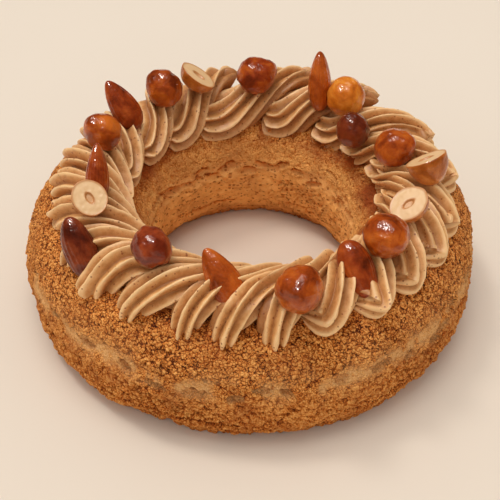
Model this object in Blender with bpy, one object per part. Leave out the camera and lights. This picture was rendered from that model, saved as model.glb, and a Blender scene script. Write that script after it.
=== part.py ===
"""Paris-Brest: a baked choux ring with piped praline-cream swirls and caramelised nuts.

Units are metres and +Z is up. The origin is the centre of the ring's flat base.
The cream sits on the ring as a dome, half a torus, that the swirls cross one after another.
Angles round the ring are azimuths, counter-clockwise from +X. Angles over the dome run from
0 at its outer foot through 90 at its crest to 180 at its inner foot.
"""

import math
from collections import namedtuple

import bmesh
import bpy
from mathutils import Matrix, Vector, noise

MM = 0.001
GAP = 0.5 * MM                       # space left between pieces that touch
FACES_KEPT = 0.70                    # of a cut swirl's faces, less the ones a cut leaves over

# Choux ring: a squarish superellipse turned about Z and cut flat underneath
RING_CENTRE_RADIUS = 64.5 * MM
RING_HALF_WIDTH = 25.0 * MM
RING_WIDEST_HEIGHT = 18.0 * MM
RING_RISE = 28.0 * MM                # from the widest height to the top
RING_DROP = 22.0 * MM                # from the widest height down, before the base is cut flat
RING_SQUARENESS = 2.6
RING_SECTION_POINTS = 12             # an even number leaves a level strip along the top
RING_STEPS = 48
RING_LUMP = 1.1 * MM
RING_LUMP_SPACING = 24.0 * MM
RING_EVEN_ABOVE = 40.0 * MM          # the ring is even where the cream sits on it

# Cream dome: the path that the swirls follow over the ring
DOME_CENTRE_RADIUS = 64.0 * MM
DOME_OFF_CENTRE = 1.6 * MM           # how far the cream was piped off the ring's centre
DOME_OFF_CENTRE_AZIMUTH = 330.0
DOME_FOOT_HEIGHT = 44.0 * MM
DOME_RADIUS = 18.0 * MM
ROPE_HEIGHT = 8.5 * MM               # from the rope's middle up to its ridges
ROPE_DEPTH = 5.5 * MM                # from the rope's middle down to its underside
ARCH_START = -30.0                   # the rope starts and ends inside the crust
ARCH_END = 207.0
ARCH_STATIONS = 7
ROPE_OVERLAP = 1.15                  # rope width over the space it has beside its neighbour
ROPE_TILT = 20.0                     # each rope leans over the one before it
RIDGE_DEPTH = 0.20                   # of the rope's half width
RIDGES_FROM = -108.0                 # ridges cover the rope from its open side over its top
RIDGES_TO = 62.0                     # to where the next rope lies on it
PLAIN_POINTS = ((104.0, 0.92), (150.0, 0.86), (-150.0, 0.86))

# Swirls: azimuth of the crest, and the slant in degrees from the crest to the outer foot
Swirl = namedtuple("Swirl", "azimuth slant")
SWIRLS = (
    Swirl(353, 10), Swirl(14, 11), Swirl(33, 11), Swirl(59, 11), Swirl(84, 11), Swirl(111, 11),
    Swirl(130, 11), Swirl(148, 11), Swirl(163, 11), Swirl(176, 11), Swirl(190, 12),
    Swirl(204, 12), Swirl(219, 11), Swirl(234, 11), Swirl(248, 12), Swirl(261, 11),
    Swirl(273, 11), Swirl(285, 9), Swirl(299, 10), Swirl(312, 9), Swirl(326, 10),
    Swirl(340, 11),
)
INNER_SLANT = 1.6                    # the slant to the inner foot, over that to the outer foot

# Nuts: where each one leaves the dome (azimuth, dome angle), how far it stands out of it in mm,
# its length in mm, and its axis (lean from upright, azimuth it leans to, turn about itself).
# A halved nut's axis looks out of its cut face, and its depth is below that face.
Nut = namedtuple("Nut", "azimuth dome proud length lean toward turn")
HalfNut = namedtuple("HalfNut", "azimuth dome proud length lean toward turn depth")
HAZELNUTS = (
    Nut(166, 97, 3.1, 15.2, 35, 200, 0), Nut(238, 87, 2.9, 14.2, 50, 120, 0),
    Nut(282.6, 61.5, 3.1, 17.0, 66, 262, 0), Nut(314.3, 83.7, 2.9, 17.0, 70, 300, 0),
    Nut(6.7, 116, 2.8, 16.0, 55, 330, 0), Nut(30.2, 139.7, 4.2, 14.0, 20, 100, 0),
    Nut(45.8, 112.4, 2.9, 16.0, 30, 90, 0), Nut(87.4, 109.4, 3.1, 16.4, 70, 20, 0),
    Nut(128.4, 104, 3.4, 15.6, 45, 160, 0),
)
HAZELNUT_HALVES = (
    HalfNut(206, 85, 4.1, 14.0, 36, 288, -51, 6.6),
    HalfNut(330, 90, 5.0, 15.0, 30, 215, 27, 7.0),
    HalfNut(353, 88, 6.6, 16.0, 34, 133, 11, 10.5),
    HalfNut(112.4, 105, 5.6, 16.2, 35, 13, -22, 7.0),
)
ALMONDS = (
    Nut(147.4, 100.3, 15.4, 23.0, 38, 148, 40), Nut(195, 101, 15.7, 22.0, 32, 88, 75),
    Nut(213.6, 46.8, 9.4, 24.0, 38, 123, 5), Nut(259.2, 94.8, 7.8, 23.0, 44, 134, 10),
    Nut(302.1, 96.6, 5.5, 23.0, 46, 128, 15), Nut(57.2, 126, 20.9, 25.0, 23, 93, 70),
)
HAZELNUT_WIDTH = 0.97                # width over length
HAZELNUT_POINT = 0.14                # how far the tip is drawn out, of the half length
ALMOND_WIDTH = 0.50
ALMOND_THICKNESS = 0.36
ALMOND_TAPER = 0.34                  # how much wider the blunt end is than the tip
HALF_WIDTH = 0.90                    # of a halved nut's length
CUT_HOLLOW_WIDTH = 0.36              # hollow in a halved kernel, of the face's width
CUT_HOLLOW_DEPTH = 1.2 * MM
CUT_HOLLOW_SLOPE = 0.5 * MM

FINISHES = {                         # base colour and roughness
    "choux_crust": ((0.56, 0.24, 0.075), 0.85),
    "praline_cream": ((0.62, 0.32, 0.13), 0.6),
    "caramel_coat": ((0.25, 0.035, 0.008), 0.15),
    "cut_kernel": ((0.82, 0.62, 0.36), 0.45),
    "almond_skin": ((0.17, 0.03, 0.01), 0.25),
}


def clear_scene():
    """Remove every object the file opens with."""
    for item in list(bpy.data.objects):
        bpy.data.objects.remove(item, do_unlink=True)


def make_finish(name):
    """Return a Principled material with the named colour and roughness."""
    colour, roughness = FINISHES[name]
    material = bpy.data.materials.new(name)
    material.use_nodes = True
    shader = material.node_tree.nodes["Principled BSDF"]
    shader.inputs["Base Color"].default_value = (*colour, 1.0)
    shader.inputs["Roughness"].default_value = roughness
    shader.inputs["Metallic"].default_value = 0.0
    return material


def add_object(name, bm, material=None, smooth=True):
    """Turn a finished bmesh into an object of the scene."""
    bmesh.ops.recalc_face_normals(bm, faces=bm.faces)
    mesh = bpy.data.meshes.new(name)
    bm.to_mesh(mesh)
    bm.free()
    if smooth:
        mesh.shade_smooth()
    if material:
        mesh.materials.append(material)
    item = bpy.data.objects.new(name, mesh)
    bpy.context.scene.collection.objects.link(item)
    return item


def around(azimuth):
    """Return the outward and the counter-clockwise direction at an azimuth in degrees."""
    angle = math.radians(azimuth)
    outward = Vector((math.cos(angle), math.sin(angle), 0.0))
    sideways = Vector((-math.sin(angle), math.cos(angle), 0.0))
    return outward, sideways


def signed_power(value, exponent):
    """Raise a value's size to a power and keep its sign."""
    return math.copysign(abs(value) ** exponent, value)


# ---------------------------------------------------------------- choux ring

def ring_section(grow):
    """List (radius, height) of the ring's section, from the outer base edge over the top to
    the inner base edge, grown outwards by a distance."""
    exponent = 2.0 / RING_SQUARENESS
    drop = RING_DROP + grow
    base_angle = math.asin((RING_WIDEST_HEIGHT / drop) ** (1.0 / exponent))
    points = []
    for step in range(RING_SECTION_POINTS):
        share = step / (RING_SECTION_POINTS - 1)
        angle = -base_angle + share * (math.pi + 2.0 * base_angle)
        reach = (RING_HALF_WIDTH + grow) * signed_power(math.cos(angle), exponent)
        half_height = RING_RISE + grow if math.sin(angle) > 0.0 else drop
        rise = half_height * signed_power(math.sin(angle), exponent)
        points.append((RING_CENTRE_RADIUS + reach, RING_WIDEST_HEIGHT + rise))
    return points


def ring_mesh(grow=0.0):
    """Turn the ring's section about Z and make it uneven, as a baked ring is."""
    bm = bmesh.new()
    outline = [bm.verts.new((radius, 0.0, height)) for radius, height in ring_section(grow)]
    edges = [bm.edges.new(pair) for pair in zip(outline, outline[1:] + outline[:1])]
    bmesh.ops.spin(bm, geom=outline + edges, cent=(0, 0, 0), axis=(0, 0, 1),
                   angle=math.tau, steps=RING_STEPS, use_merge=True)
    bmesh.ops.remove_doubles(bm, verts=bm.verts, dist=0.01 * MM)
    for vert in bm.verts:
        flat = Vector((vert.co.x, vert.co.y, 0.0))
        core = flat.normalized() * RING_CENTRE_RADIUS
        core.z = RING_WIDEST_HEIGHT
        outward = (vert.co - core).normalized()
        if vert.co.z < 0.1 * MM:
            vert.co.z = 0.0
            outward.z = 0.0
        if vert.co.z < RING_EVEN_ABOVE:
            vert.co += outward * RING_LUMP * noise.noise(vert.co / RING_LUMP_SPACING)
    return bm


# ---------------------------------------------------------------- cream swirls

def dome_centre_radius(azimuth):
    """Return the radius of the cream dome's centre line at an azimuth in degrees."""
    swing = math.cos(math.radians(azimuth - DOME_OFF_CENTRE_AZIMUTH))
    return DOME_CENTRE_RADIUS + DOME_OFF_CENTRE * swing


def dome_point(azimuth, dome_angle, radius):
    """Return a point at a distance from the dome's centre line, and the direction to it."""
    outward, _ = around(azimuth)
    angle = math.radians(dome_angle)
    direction = outward * math.cos(angle) + Vector((0.0, 0.0, math.sin(angle)))
    centre = outward * dome_centre_radius(azimuth) + Vector((0.0, 0.0, DOME_FOOT_HEIGHT))
    return centre + direction * radius, direction


def rope_azimuth(swirl, arch):
    """Return where round the ring a swirl's rope is at an angle over the dome."""
    share = (arch - 90.0) / 90.0
    slant = swirl.slant * (INNER_SLANT if share > 0.0 else 1.0)
    return swirl.azimuth + slant * share


def rope_point(swirl, arch, radius):
    """Return a point of a swirl's rope at an angle over the dome, and the way out from it."""
    return dome_point(rope_azimuth(swirl, arch), arch, radius)


def ridge_count(pitch):
    """Return how many ridges a swirl shows for the room it has, in degrees."""
    return 3 if pitch < 15.0 else 4 if pitch < 21.0 else 5


def flute_points(pitch):
    """List (angle from the rope's top, reach) round a rope's ridged outline."""
    steps = 2 * ridge_count(pitch)
    points = []
    for step in range(steps + 1):
        angle = RIDGES_FROM + (RIDGES_TO - RIDGES_FROM) * step / steps
        points.append((angle, 1.0 if step % 2 else 1.0 - RIDGE_DEPTH))
    return points + list(PLAIN_POINTS)


def swirl_section(swirl, pitch, arch, grow):
    """List the points of a swirl's outline across its rope at one angle over the dome."""
    centre, normal = rope_point(swirl, arch, DOME_RADIUS - ROPE_HEIGHT)
    ahead, _ = rope_point(swirl, arch + 1.0, DOME_RADIUS)
    behind, _ = rope_point(swirl, arch - 1.0, DOME_RADIUS)
    along = (ahead - behind).normalized()
    across = along.cross(normal).normalized()
    normal = across.cross(along)
    surface_radius = dome_centre_radius(swirl.azimuth) + DOME_RADIUS * math.cos(math.radians(arch))
    turn_rate = (rope_azimuth(swirl, arch + 1.0) - rope_azimuth(swirl, arch - 1.0)) / 2.0
    squeeze = math.cos(math.atan2(surface_radius * turn_rate, DOME_RADIUS))
    half_width = 0.5 * surface_radius * math.radians(pitch) * squeeze * ROPE_OVERLAP + grow
    tilt = math.radians(ROPE_TILT)
    points = []
    for angle, reach in flute_points(pitch):
        tall = ROPE_HEIGHT if abs(angle) < 90.0 else ROPE_DEPTH
        side = math.sin(math.radians(angle)) * reach * half_width
        height = math.cos(math.radians(angle)) * reach * (tall + grow)
        points.append(centre + across * (side * math.cos(tilt) + height * math.sin(tilt))
                      + normal * (height * math.cos(tilt) - side * math.sin(tilt)))
    return points


def swirl_mesh(swirl, pitch, grow=0.0):
    """Loft a swirl's fluted rope over the dome, from inside the crust to inside the crust."""
    bm = bmesh.new()
    rings = []
    for station in range(ARCH_STATIONS):
        arch = ARCH_START + (ARCH_END - ARCH_START) * station / (ARCH_STATIONS - 1)
        rings.append([bm.verts.new(co) for co in swirl_section(swirl, pitch, arch, grow)])
    bm.faces.new(rings[0])
    bm.faces.new(rings[-1])
    for near, far in zip(rings, rings[1:]):
        for index in range(len(near)):
            nxt = (index + 1) % len(near)
            bm.faces.new((near[index], near[nxt], far[nxt], far[index]))
    bmesh.ops.triangulate(bm, faces=bm.faces)
    return bm


def swirl_pitch(index):
    """Return the room a swirl has round the ring, in degrees."""
    before = SWIRLS[index - 1].azimuth
    after = SWIRLS[(index + 1) % len(SWIRLS)].azimuth
    return ((after - before) % 360) / 2.0


# ---------------------------------------------------------------- nuts

def hazelnut_mesh(nut, grow=0.0):
    """Model a round nut with a drawn-out tip at +Z and a flattened scar at -Z."""
    bm = bmesh.new()
    bmesh.ops.create_uvsphere(bm, u_segments=9, v_segments=6, radius=1.0)
    half = 0.5 * nut.length * MM + grow
    for vert in bm.verts:
        tip = max(vert.co.z, 0.0)
        scar = 0.82 if vert.co.z < -0.9 else 1.0
        stretch = (1.0 + HAZELNUT_POINT * tip ** 4) * scar
        wobble = 1.0 + 0.05 * noise.noise(vert.co * 1.7 + Vector((nut.azimuth, 0.0, 0.0)))
        vert.co = Vector((vert.co.x * HAZELNUT_WIDTH, vert.co.y * HAZELNUT_WIDTH,
                          vert.co.z * stretch)) * half * wobble
    return bm


def hazelnut_half_mesh(nut, grow=0.0):
    """Model half a nut whose cut face looks along +Z, with the kernel's small hollow."""
    bm = bmesh.new()
    bmesh.ops.create_uvsphere(bm, u_segments=10, v_segments=6, radius=1.0)
    half = 0.5 * nut.length * MM
    size = (half + grow, half * HALF_WIDTH + grow, nut.depth * MM + grow)
    bmesh.ops.scale(bm, verts=bm.verts, vec=size)
    everything = bm.verts[:] + bm.edges[:] + bm.faces[:]
    bmesh.ops.bisect_plane(bm, geom=everything, plane_co=(0, 0, grow + 0.01 * MM),
                           plane_no=(0, 0, 1), clear_outer=True)
    bmesh.ops.remove_doubles(bm, verts=bm.verts, dist=0.05 * MM)
    rim = [edge for edge in bm.edges if edge.is_boundary]
    face = bmesh.ops.contextual_create(bm, geom=rim)["faces"][0]
    if grow == 0.0:
        border = half * (1.0 - CUT_HOLLOW_WIDTH)
        bmesh.ops.inset_region(bm, faces=[face], thickness=border, use_even_offset=False)
        bmesh.ops.inset_region(bm, faces=[face], thickness=CUT_HOLLOW_SLOPE,
                               use_even_offset=False)
        bmesh.ops.translate(bm, verts=face.verts, vec=(0, 0, -CUT_HOLLOW_DEPTH))
    return bm


def almond_mesh(nut, grow=0.0):
    """Model a flat teardrop nut with its tip at +Z and its blunt end at -Z."""
    bm = bmesh.new()
    bmesh.ops.create_uvsphere(bm, u_segments=8, v_segments=7, radius=1.0)
    half = 0.5 * nut.length * MM
    for vert in bm.verts:
        taper = 1.0 - ALMOND_TAPER * vert.co.z
        width = vert.co.x * (half * ALMOND_WIDTH * taper + grow)
        thickness = vert.co.y * (half * ALMOND_THICKNESS * taper + grow)
        vert.co = Vector((width, thickness, vert.co.z * (half + grow)))
    return bm


def nut_axis(nut):
    """Return the direction of a nut's long axis."""
    lean = math.radians(nut.lean)
    heading, _ = around(nut.toward)
    return heading * math.sin(lean) + Vector((0.0, 0.0, math.cos(lean)))


def seat_nut(item, nut, centre):
    """Turn a nut's +Z to its long axis and put its middle at a point."""
    axis = nut_axis(nut)
    swing = Vector((0.0, 0.0, 1.0)).rotation_difference(axis).to_matrix().to_4x4()
    turn = Matrix.Rotation(math.radians(nut.turn), 4, "Z")
    item.matrix_world = Matrix.Translation(centre) @ swing @ turn


def nut_centre(nut, by_tip):
    """Return a nut's middle. An almond stands out by its tip, the others by their middle."""
    if by_tip:
        root, _ = dome_point(nut.azimuth, nut.dome, DOME_RADIUS)
        return root + nut_axis(nut) * (nut.proud - 0.5 * nut.length) * MM
    centre, _ = dome_point(nut.azimuth, nut.dome, DOME_RADIUS + nut.proud * MM)
    return centre


# ---------------------------------------------------------------- fitting the pieces together

def keep_largest_body(bm):
    """Delete every loose shell but the one with the most volume."""
    shells = []
    unseen = set(bm.faces)
    while unseen:
        shell = set()
        front = [next(iter(unseen))]
        while front:
            face = front.pop()
            if face in shell:
                continue
            shell.add(face)
            for edge in face.edges:
                front.extend(other for other in edge.link_faces if other not in shell)
        unseen -= shell
        shells.append(shell)

    def volume(shell):
        total = 0.0
        for face in shell:
            first = face.verts[0].co
            for left, right in zip(face.verts[1:], face.verts[2:]):
                total += first.dot(left.co.cross(right.co)) / 6.0
        return abs(total)

    keep = max(shells, key=volume)
    bmesh.ops.delete(bm, geom=[face for face in bm.faces if face not in keep], context="FACES")


def carve(item, cutters):
    """Cut pieces away from an object, one after another, and keep its largest body."""
    for cutter in cutters:
        cut = item.modifiers.new(cutter.name, "BOOLEAN")
        cut.operation = "DIFFERENCE"
        cut.solver = "EXACT"
        cut.object = cutter
    thin_out = item.modifiers.new("thin_out", "DECIMATE")
    thin_out.ratio = FACES_KEPT
    shape = item.evaluated_get(bpy.context.evaluated_depsgraph_get())
    bm = bmesh.new()
    bm.from_mesh(shape.to_mesh())
    shape.to_mesh_clear()
    bmesh.ops.triangulate(bm, faces=bm.faces)
    keep_largest_body(bm)
    item.modifiers.clear()
    bm.to_mesh(item.data)
    bm.free()


def boxes_meet(first, second):
    """Say whether two objects' world boxes meet."""
    spans = []
    for item in (first, second):
        corners = [item.matrix_world @ vert.co for vert in item.data.vertices]
        low = [min(corner[axis] for corner in corners) for axis in range(3)]
        high = [max(corner[axis] for corner in corners) for axis in range(3)]
        spans.append((low, high))
    (low_a, high_a), (low_b, high_b) = spans
    return all(low_a[axis] < high_b[axis] and low_b[axis] < high_a[axis] for axis in range(3))


def hide_cutter(item):
    """Leave a cutter out of the model and its renders."""
    item.hide_render = True
    item.display_type = "WIRE"


def build_nuts():
    """Make every nut, and a grown copy of each that hollows its seat in the cream."""
    kinds = (
        ("hazelnut", HAZELNUTS, hazelnut_mesh, make_finish("caramel_coat"), False),
        ("hazelnut_half", HAZELNUT_HALVES, hazelnut_half_mesh, make_finish("cut_kernel"), False),
        ("almond", ALMONDS, almond_mesh, make_finish("almond_skin"), True),
    )
    seats = []
    for kind, nuts, model, finish, by_tip in kinds:
        for number, nut in enumerate(nuts, start=1):
            centre = nut_centre(nut, by_tip)
            piece = add_object(f"{kind}_{number:02d}", model(nut), finish)
            seat = add_object(f"seat_{kind}_{number:02d}", model(nut, GAP))
            seat_nut(piece, nut, centre)
            seat_nut(seat, nut, centre)
            hide_cutter(seat)
            seats.append(seat)
    return seats


def build_model():
    """Build the choux ring, the nuts and the swirls that are cut to fit between them."""
    clear_scene()
    add_object("choux_ring", ring_mesh(), make_finish("choux_crust"))
    ring_bed = add_object("bed_choux_ring", ring_mesh(GAP))
    hide_cutter(ring_bed)
    seats = build_nuts()
    cream = make_finish("praline_cream")
    swirls = []
    beds = []
    for index, swirl in enumerate(SWIRLS):
        pitch = swirl_pitch(index)
        name = f"cream_swirl_{index + 1:02d}"
        swirls.append(add_object(name, swirl_mesh(swirl, pitch), cream))
        bed = add_object(f"bed_{name}", swirl_mesh(swirl, pitch, GAP))
        hide_cutter(bed)
        beds.append(bed)
    bpy.context.view_layer.update()
    for index, item in enumerate(swirls):
        following = [beds[(index + ahead) % len(beds)] for ahead in (1, 2, 3)]
        cutters = [bed for bed in following + seats if boxes_meet(item, bed)]
        carve(item, [ring_bed] + cutters)


build_model()
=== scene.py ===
"""A Paris-Brest: a baked choux ring, praline-cream swirls piped over it, and caramelised nuts.

Lengths are in metres and +Z is up. The origin is the middle of the ring's flat base. Angles
round the ring are azimuths in degrees, counter-clockwise from +X, and the front is at 270.
Angles over the cream dome run from 0 at its outer foot to 90 at its crest and 180 at its
inner foot.
"""

from __future__ import annotations

import logging
import math
from dataclasses import dataclass, field
from enum import Enum

import bmesh
import bpy
import numpy as np
from mathutils import Matrix, Vector, noise


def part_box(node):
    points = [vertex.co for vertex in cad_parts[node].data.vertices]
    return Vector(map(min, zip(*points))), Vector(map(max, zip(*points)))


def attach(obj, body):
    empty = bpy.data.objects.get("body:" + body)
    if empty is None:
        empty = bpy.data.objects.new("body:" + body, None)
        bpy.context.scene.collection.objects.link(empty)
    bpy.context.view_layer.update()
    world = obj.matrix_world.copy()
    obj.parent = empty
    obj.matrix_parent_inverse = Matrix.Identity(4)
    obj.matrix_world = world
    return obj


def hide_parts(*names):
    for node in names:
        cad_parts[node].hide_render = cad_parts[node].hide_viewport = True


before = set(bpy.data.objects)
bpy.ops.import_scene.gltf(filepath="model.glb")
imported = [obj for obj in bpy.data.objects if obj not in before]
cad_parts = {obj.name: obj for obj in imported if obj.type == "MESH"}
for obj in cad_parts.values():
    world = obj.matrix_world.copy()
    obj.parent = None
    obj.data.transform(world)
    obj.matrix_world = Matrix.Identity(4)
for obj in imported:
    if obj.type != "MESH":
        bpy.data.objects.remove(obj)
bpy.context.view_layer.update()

log = logging.getLogger("paris_brest")

MM = 0.001
BODY = "root"


# ------------------------------------------------------------------ numbers and noise


def smooth_step(low: float, high: float, value: np.ndarray) -> np.ndarray:
    """Ease from 0 to 1 between two limits.

    Args:
        low: The value that gives 0.
        high: The value that gives 1. It may be below low.
        value: What is eased.

    Returns:
        One number from 0 to 1 for each value.
    """
    share = np.clip((value - low) / (high - low), 0.0, 1.0)
    return share * share * (3.0 - 2.0 * share)


def lattice(cells: np.ndarray, seed: int) -> np.ndarray:
    """Give each cell of a whole-number lattice its own repeatable number.

    Args:
        cells: Whole-number coordinates, three to a row.
        seed: Which set of numbers to use.

    Returns:
        One number from 0 to 1 for each cell.
    """
    keys = cells.astype(np.int64)
    mixed = keys[..., 0] * 73856093 ^ keys[..., 1] * 19349663 ^ keys[..., 2] * 83492791
    mixed = (mixed + seed * 40503) & 0x7FFFFFFF
    mixed = ((mixed ^ (mixed >> 15)) * 739982445) & 0x7FFFFFFF
    mixed = ((mixed ^ (mixed >> 12)) * 695872825) & 0x7FFFFFFF
    return ((mixed ^ (mixed >> 15)) & 0xFFFFFF) / 0xFFFFFF


def drift(points: np.ndarray, size: float, seed: int = 0) -> np.ndarray:
    """Give smooth noise at points.

    Args:
        points: Coordinates, three to a row.
        size: The distance over which the noise changes.
        seed: Which pattern to use.

    Returns:
        One number from -1 to 1 for each point.
    """
    scaled = points / size
    corner = np.floor(scaled)
    part = scaled - corner
    ease = part * part * part * (part * (part * 6.0 - 15.0) + 10.0)
    total = np.zeros(len(points))
    for step in np.ndindex(2, 2, 2):
        weight = np.prod(np.where(np.array(step), ease, 1.0 - ease), axis=1)
        total += weight * lattice(corner + np.array(step), seed)
    return total * 2.0 - 1.0


def grains(points: np.ndarray, size: float, seed: int) -> tuple[np.ndarray, ...]:
    """Split space into irregular grains.

    Args:
        points: Coordinates, three to a row.
        size: The usual distance between the middles of two grains.
        seed: Which pattern to use.

    Returns:
        For each point, its distance to the nearest grain's middle, to the next one's, both over
        the size, and that nearest grain's own number from 0 to 1.
    """
    scaled = points / size
    home = np.floor(scaled)
    nearest = np.full(len(points), 9.0)
    second = np.full(len(points), 9.0)
    tone = np.zeros(len(points))
    for step in np.ndindex(3, 3, 3):
        cell = home + (np.array(step) - 1)
        middle = cell + np.stack([lattice(cell, seed + axis) for axis in range(3)], axis=1)
        away = np.linalg.norm(scaled - middle, axis=1)
        closer = away < nearest
        second = np.where(closer, nearest, np.minimum(second, away))
        tone = np.where(closer, lattice(cell, seed + 7), tone)
        nearest = np.where(closer, away, nearest)
    return nearest, second, tone


def knobs(
    points: np.ndarray, size: float, seed: int, reach: float, gap: float
) -> tuple[np.ndarray, np.ndarray, np.ndarray]:
    """Round irregular grains to knobs with cracks between them.

    Args:
        points: Coordinates, three to a row.
        size: The usual distance between the middles of two knobs.
        seed: Which pattern to use.
        reach: Where a knob's round top ends, over the size.
        gap: How wide a crack is, over the size.

    Returns:
        For each point, how high on a knob and how deep in a crack it is, both from 0 to 1, and
        that knob's own number from 0 to 1.
    """
    nearest, second, tone = grains(points, size, seed)
    top = np.clip(1.0 - (nearest / reach) ** 2, 0.0, 1.0)
    return top, smooth_step(gap, 0.0, second - nearest), tone


# ------------------------------------------------------------------ meshes


def make_piece(
    name: str, bm: bmesh.types.BMesh, finishes: list[bpy.types.Material]
) -> bpy.types.Object:
    """Turn a finished bmesh into a smooth object at the origin.

    Args:
        name: The piece's name.
        bm: The shape, which is freed.
        finishes: The materials that its faces point to.

    Returns:
        The object, linked to the scene.
    """
    mesh = bpy.data.meshes.new(name)
    bm.to_mesh(mesh)
    bm.free()
    mesh.shade_smooth()
    for finish in finishes:
        mesh.materials.append(finish)
    piece = bpy.data.objects.new(name, mesh)
    bpy.context.scene.collection.objects.link(piece)
    return piece


def points_of(piece: bpy.types.Object) -> np.ndarray:
    """Return the piece's vertices, three coordinates to a row."""
    flat = np.empty(len(piece.data.vertices) * 3)
    piece.data.vertices.foreach_get("co", flat)
    return flat.reshape(-1, 3)


def normals_of(piece: bpy.types.Object) -> np.ndarray:
    """Return the normal at each of the piece's vertices."""
    flat = np.empty(len(piece.data.vertices) * 3)
    piece.data.vertices.foreach_get("normal", flat)
    return flat.reshape(-1, 3)


def move_points(piece: bpy.types.Object, points: np.ndarray) -> None:
    """Move the piece's vertices to new coordinates."""
    piece.data.vertices.foreach_set("co", np.ascontiguousarray(points, np.float32).ravel())
    piece.data.update()


def mark_points(piece: bpy.types.Object, name: str, values: np.ndarray) -> None:
    """Store one number at each of the piece's vertices, for a finish to read."""
    layer = piece.data.attributes.new(name, "FLOAT", "POINT")
    layer.data.foreach_set("value", np.ascontiguousarray(values, np.float32))


def seat_piece(piece: bpy.types.Object, node: str) -> None:
    """Let a piece stand for a CAD node.

    Args:
        piece: The visible piece.
        node: The CAD node it replaces.
    """
    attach(piece, BODY)
    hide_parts(node)
    log.info("%s: %d triangles", piece.name, sum(len(p.vertices) - 2 for p in piece.data.polygons))


def box_centre(node: str) -> np.ndarray:
    """Return the middle of a CAD node's box."""
    low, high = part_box(node)
    return (np.array(low) + np.array(high)) / 2.0


def centre_on(points: np.ndarray, centre: np.ndarray) -> np.ndarray:
    """Return points moved so that the middle of their box is at a place."""
    return points + centre - (points.min(axis=0) + points.max(axis=0)) / 2.0


# ------------------------------------------------------------------ finishes


def linear(colour: str) -> tuple[float, float, float, float]:
    """Turn an sRGB hex colour to linear red, green, blue and alpha."""
    parts = [int(colour[start : start + 2], 16) / 255.0 for start in (1, 3, 5)]
    red, green, blue = (
        part / 12.92 if part <= 0.04045 else ((part + 0.055) / 1.055) ** 2.4 for part in parts
    )
    return red, green, blue, 1.0


def feed(node: bpy.types.Node, inputs: dict) -> None:
    """Give a node's inputs their links and values.

    Args:
        node: The node.
        inputs: For each input, by name or number, the socket that feeds it or its value. A
            value that starts with # is an sRGB colour.
    """
    for key, value in inputs.items():
        if isinstance(value, bpy.types.NodeSocket):
            node.id_data.links.new(value, node.inputs[key])
        else:
            node.inputs[key].default_value = linear(value) if isinstance(value, str) else value


def add_node(
    tree: bpy.types.NodeTree,
    kind: str,
    inputs: dict | None = None,
    stops: tuple | None = None,
    **settings: object,
) -> bpy.types.Node:
    """Add a node with its settings and links.

    Args:
        tree: The material's node tree.
        kind: The node's type, without its "ShaderNode".
        inputs: What its inputs are fed.
        stops: For a colour ramp, its positions and sRGB colours.
        **settings: The node's own properties.

    Returns:
        The node.
    """
    node = tree.nodes.new("ShaderNode" + kind)
    for name, value in settings.items():
        setattr(node, name, value)
    feed(node, inputs or {})
    if stops:
        ramp = node.color_ramp.elements
        while len(ramp) < len(stops):
            ramp.new(1.0)
        for element, (position, colour) in zip(ramp, stops):
            element.position = position
            element.color = linear(colour)
    return node


def start_material(name: str) -> tuple[bpy.types.Material, bpy.types.NodeTree, bpy.types.Node]:
    """Make a material and return it with its tree and its Principled shader."""
    material = bpy.data.materials.new(name)
    material.use_nodes = True
    tree = material.node_tree
    return material, tree, tree.nodes["Principled BSDF"]


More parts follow.
